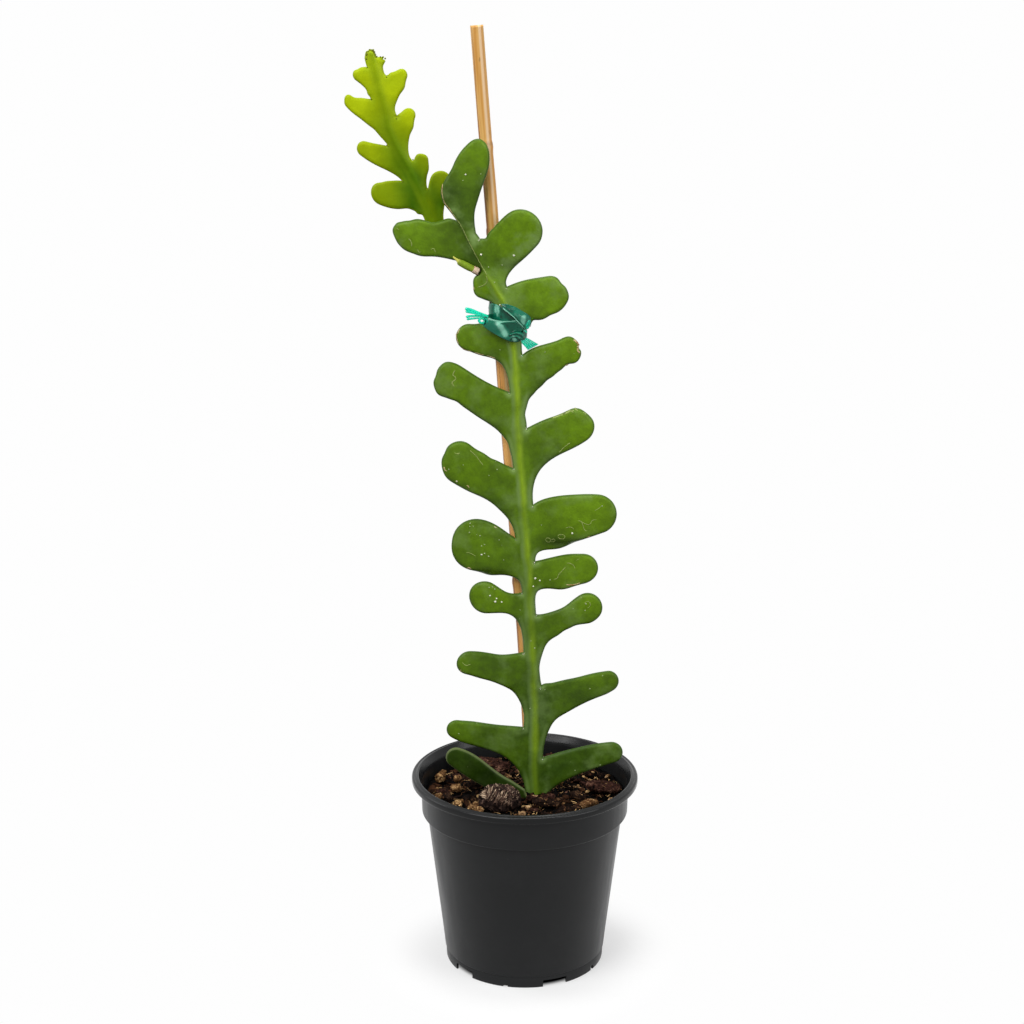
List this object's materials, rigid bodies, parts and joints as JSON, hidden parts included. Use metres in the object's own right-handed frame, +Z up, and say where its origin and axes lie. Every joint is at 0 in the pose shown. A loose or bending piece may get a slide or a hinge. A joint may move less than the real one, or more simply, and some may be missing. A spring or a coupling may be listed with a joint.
{
  "type": "potted fishbone cactus",
  "caption": "Fishbone cactus with flat wavy-lobed green stems, tied to a bamboo cane and standing in a tapered round black nursery pot of bark mix.",
  "frame": {"origin": "middle of the pot's underside, on the level it stands on", "axes": "+X to the plant's right seen from the front, where the stems lie flat to the viewer; -Y towards the front; +Z up along the pot's axis"},
  "size_m": [0.1493, 0.12, 0.4892],
  "materials": {
    "pot_plastic": "satin black polypropylene, moulded",
    "potting_mix": "damp dark peat and composted bark, rough and matt",
    "bamboo": "orange-tan split bamboo with long pale streaks, satin",
    "teal_tape": "thin creased teal tying tape, glossy and slightly see-through",
    "mature_stem": "dark green waxy succulent skin, satin",
    "young_stem": "yellow-green young succulent skin, satin",
    "basal_stem": "deep green waxy succulent skin, satin",
    "stub_stem": "bright green young skin with a dried pinkish-tan cut end",
    "husk_fibre": "fibrous brown husk, matt",
    "dark_bark": "dark brown bark, matt",
    "red_bark": "reddish brown bark with fine grain, matt",
    "tan_cork": "tan corky bark, matt",
    "pale_wood": "pale dry wood, matt"
  },
  "bodies": {
    "root": {"nursery_pot": "pot_plastic", "potting_mix": "potting_mix", "bamboo_cane": "bamboo", "plastic_tie": "teal_tape", "main_stem": "mature_stem", "young_shoot": "young_stem", "cut_stub": "stub_stem", "basal_shoot": "basal_stem", "husk_lump": "husk_fibre", "bark_slab": "red_bark", "cork_knob_left": "tan_cork", "cork_knob_front": "tan_cork", "cork_crumb": "tan_cork", "cork_lump": "tan_cork", "bark_lump_left": "dark_bark", "cork_ball": "pale_wood", "cork_chunk": "tan_cork", "red_flake_middle": "red_bark", "red_flake_right": "red_bark", "bark_strip": "tan_cork", "folded_chip": "tan_cork", "rough_chip": "tan_cork", "bark_heap_back": "red_bark", "bark_crumb_back": "red_bark", "pale_sliver_right": "pale_wood", "pale_sliver_front": "pale_wood", "pale_sliver_middle": "pale_wood", "pale_sliver_foot": "pale_wood", "bark_lump_front": "dark_bark", "pale_grit_front": "pale_wood", "pale_grit_low": "pale_wood", "bark_chip_front": "dark_bark", "bark_chip_back": "dark_bark", "bark_chip_right": "dark_bark"}
  },
  "joints": []
}
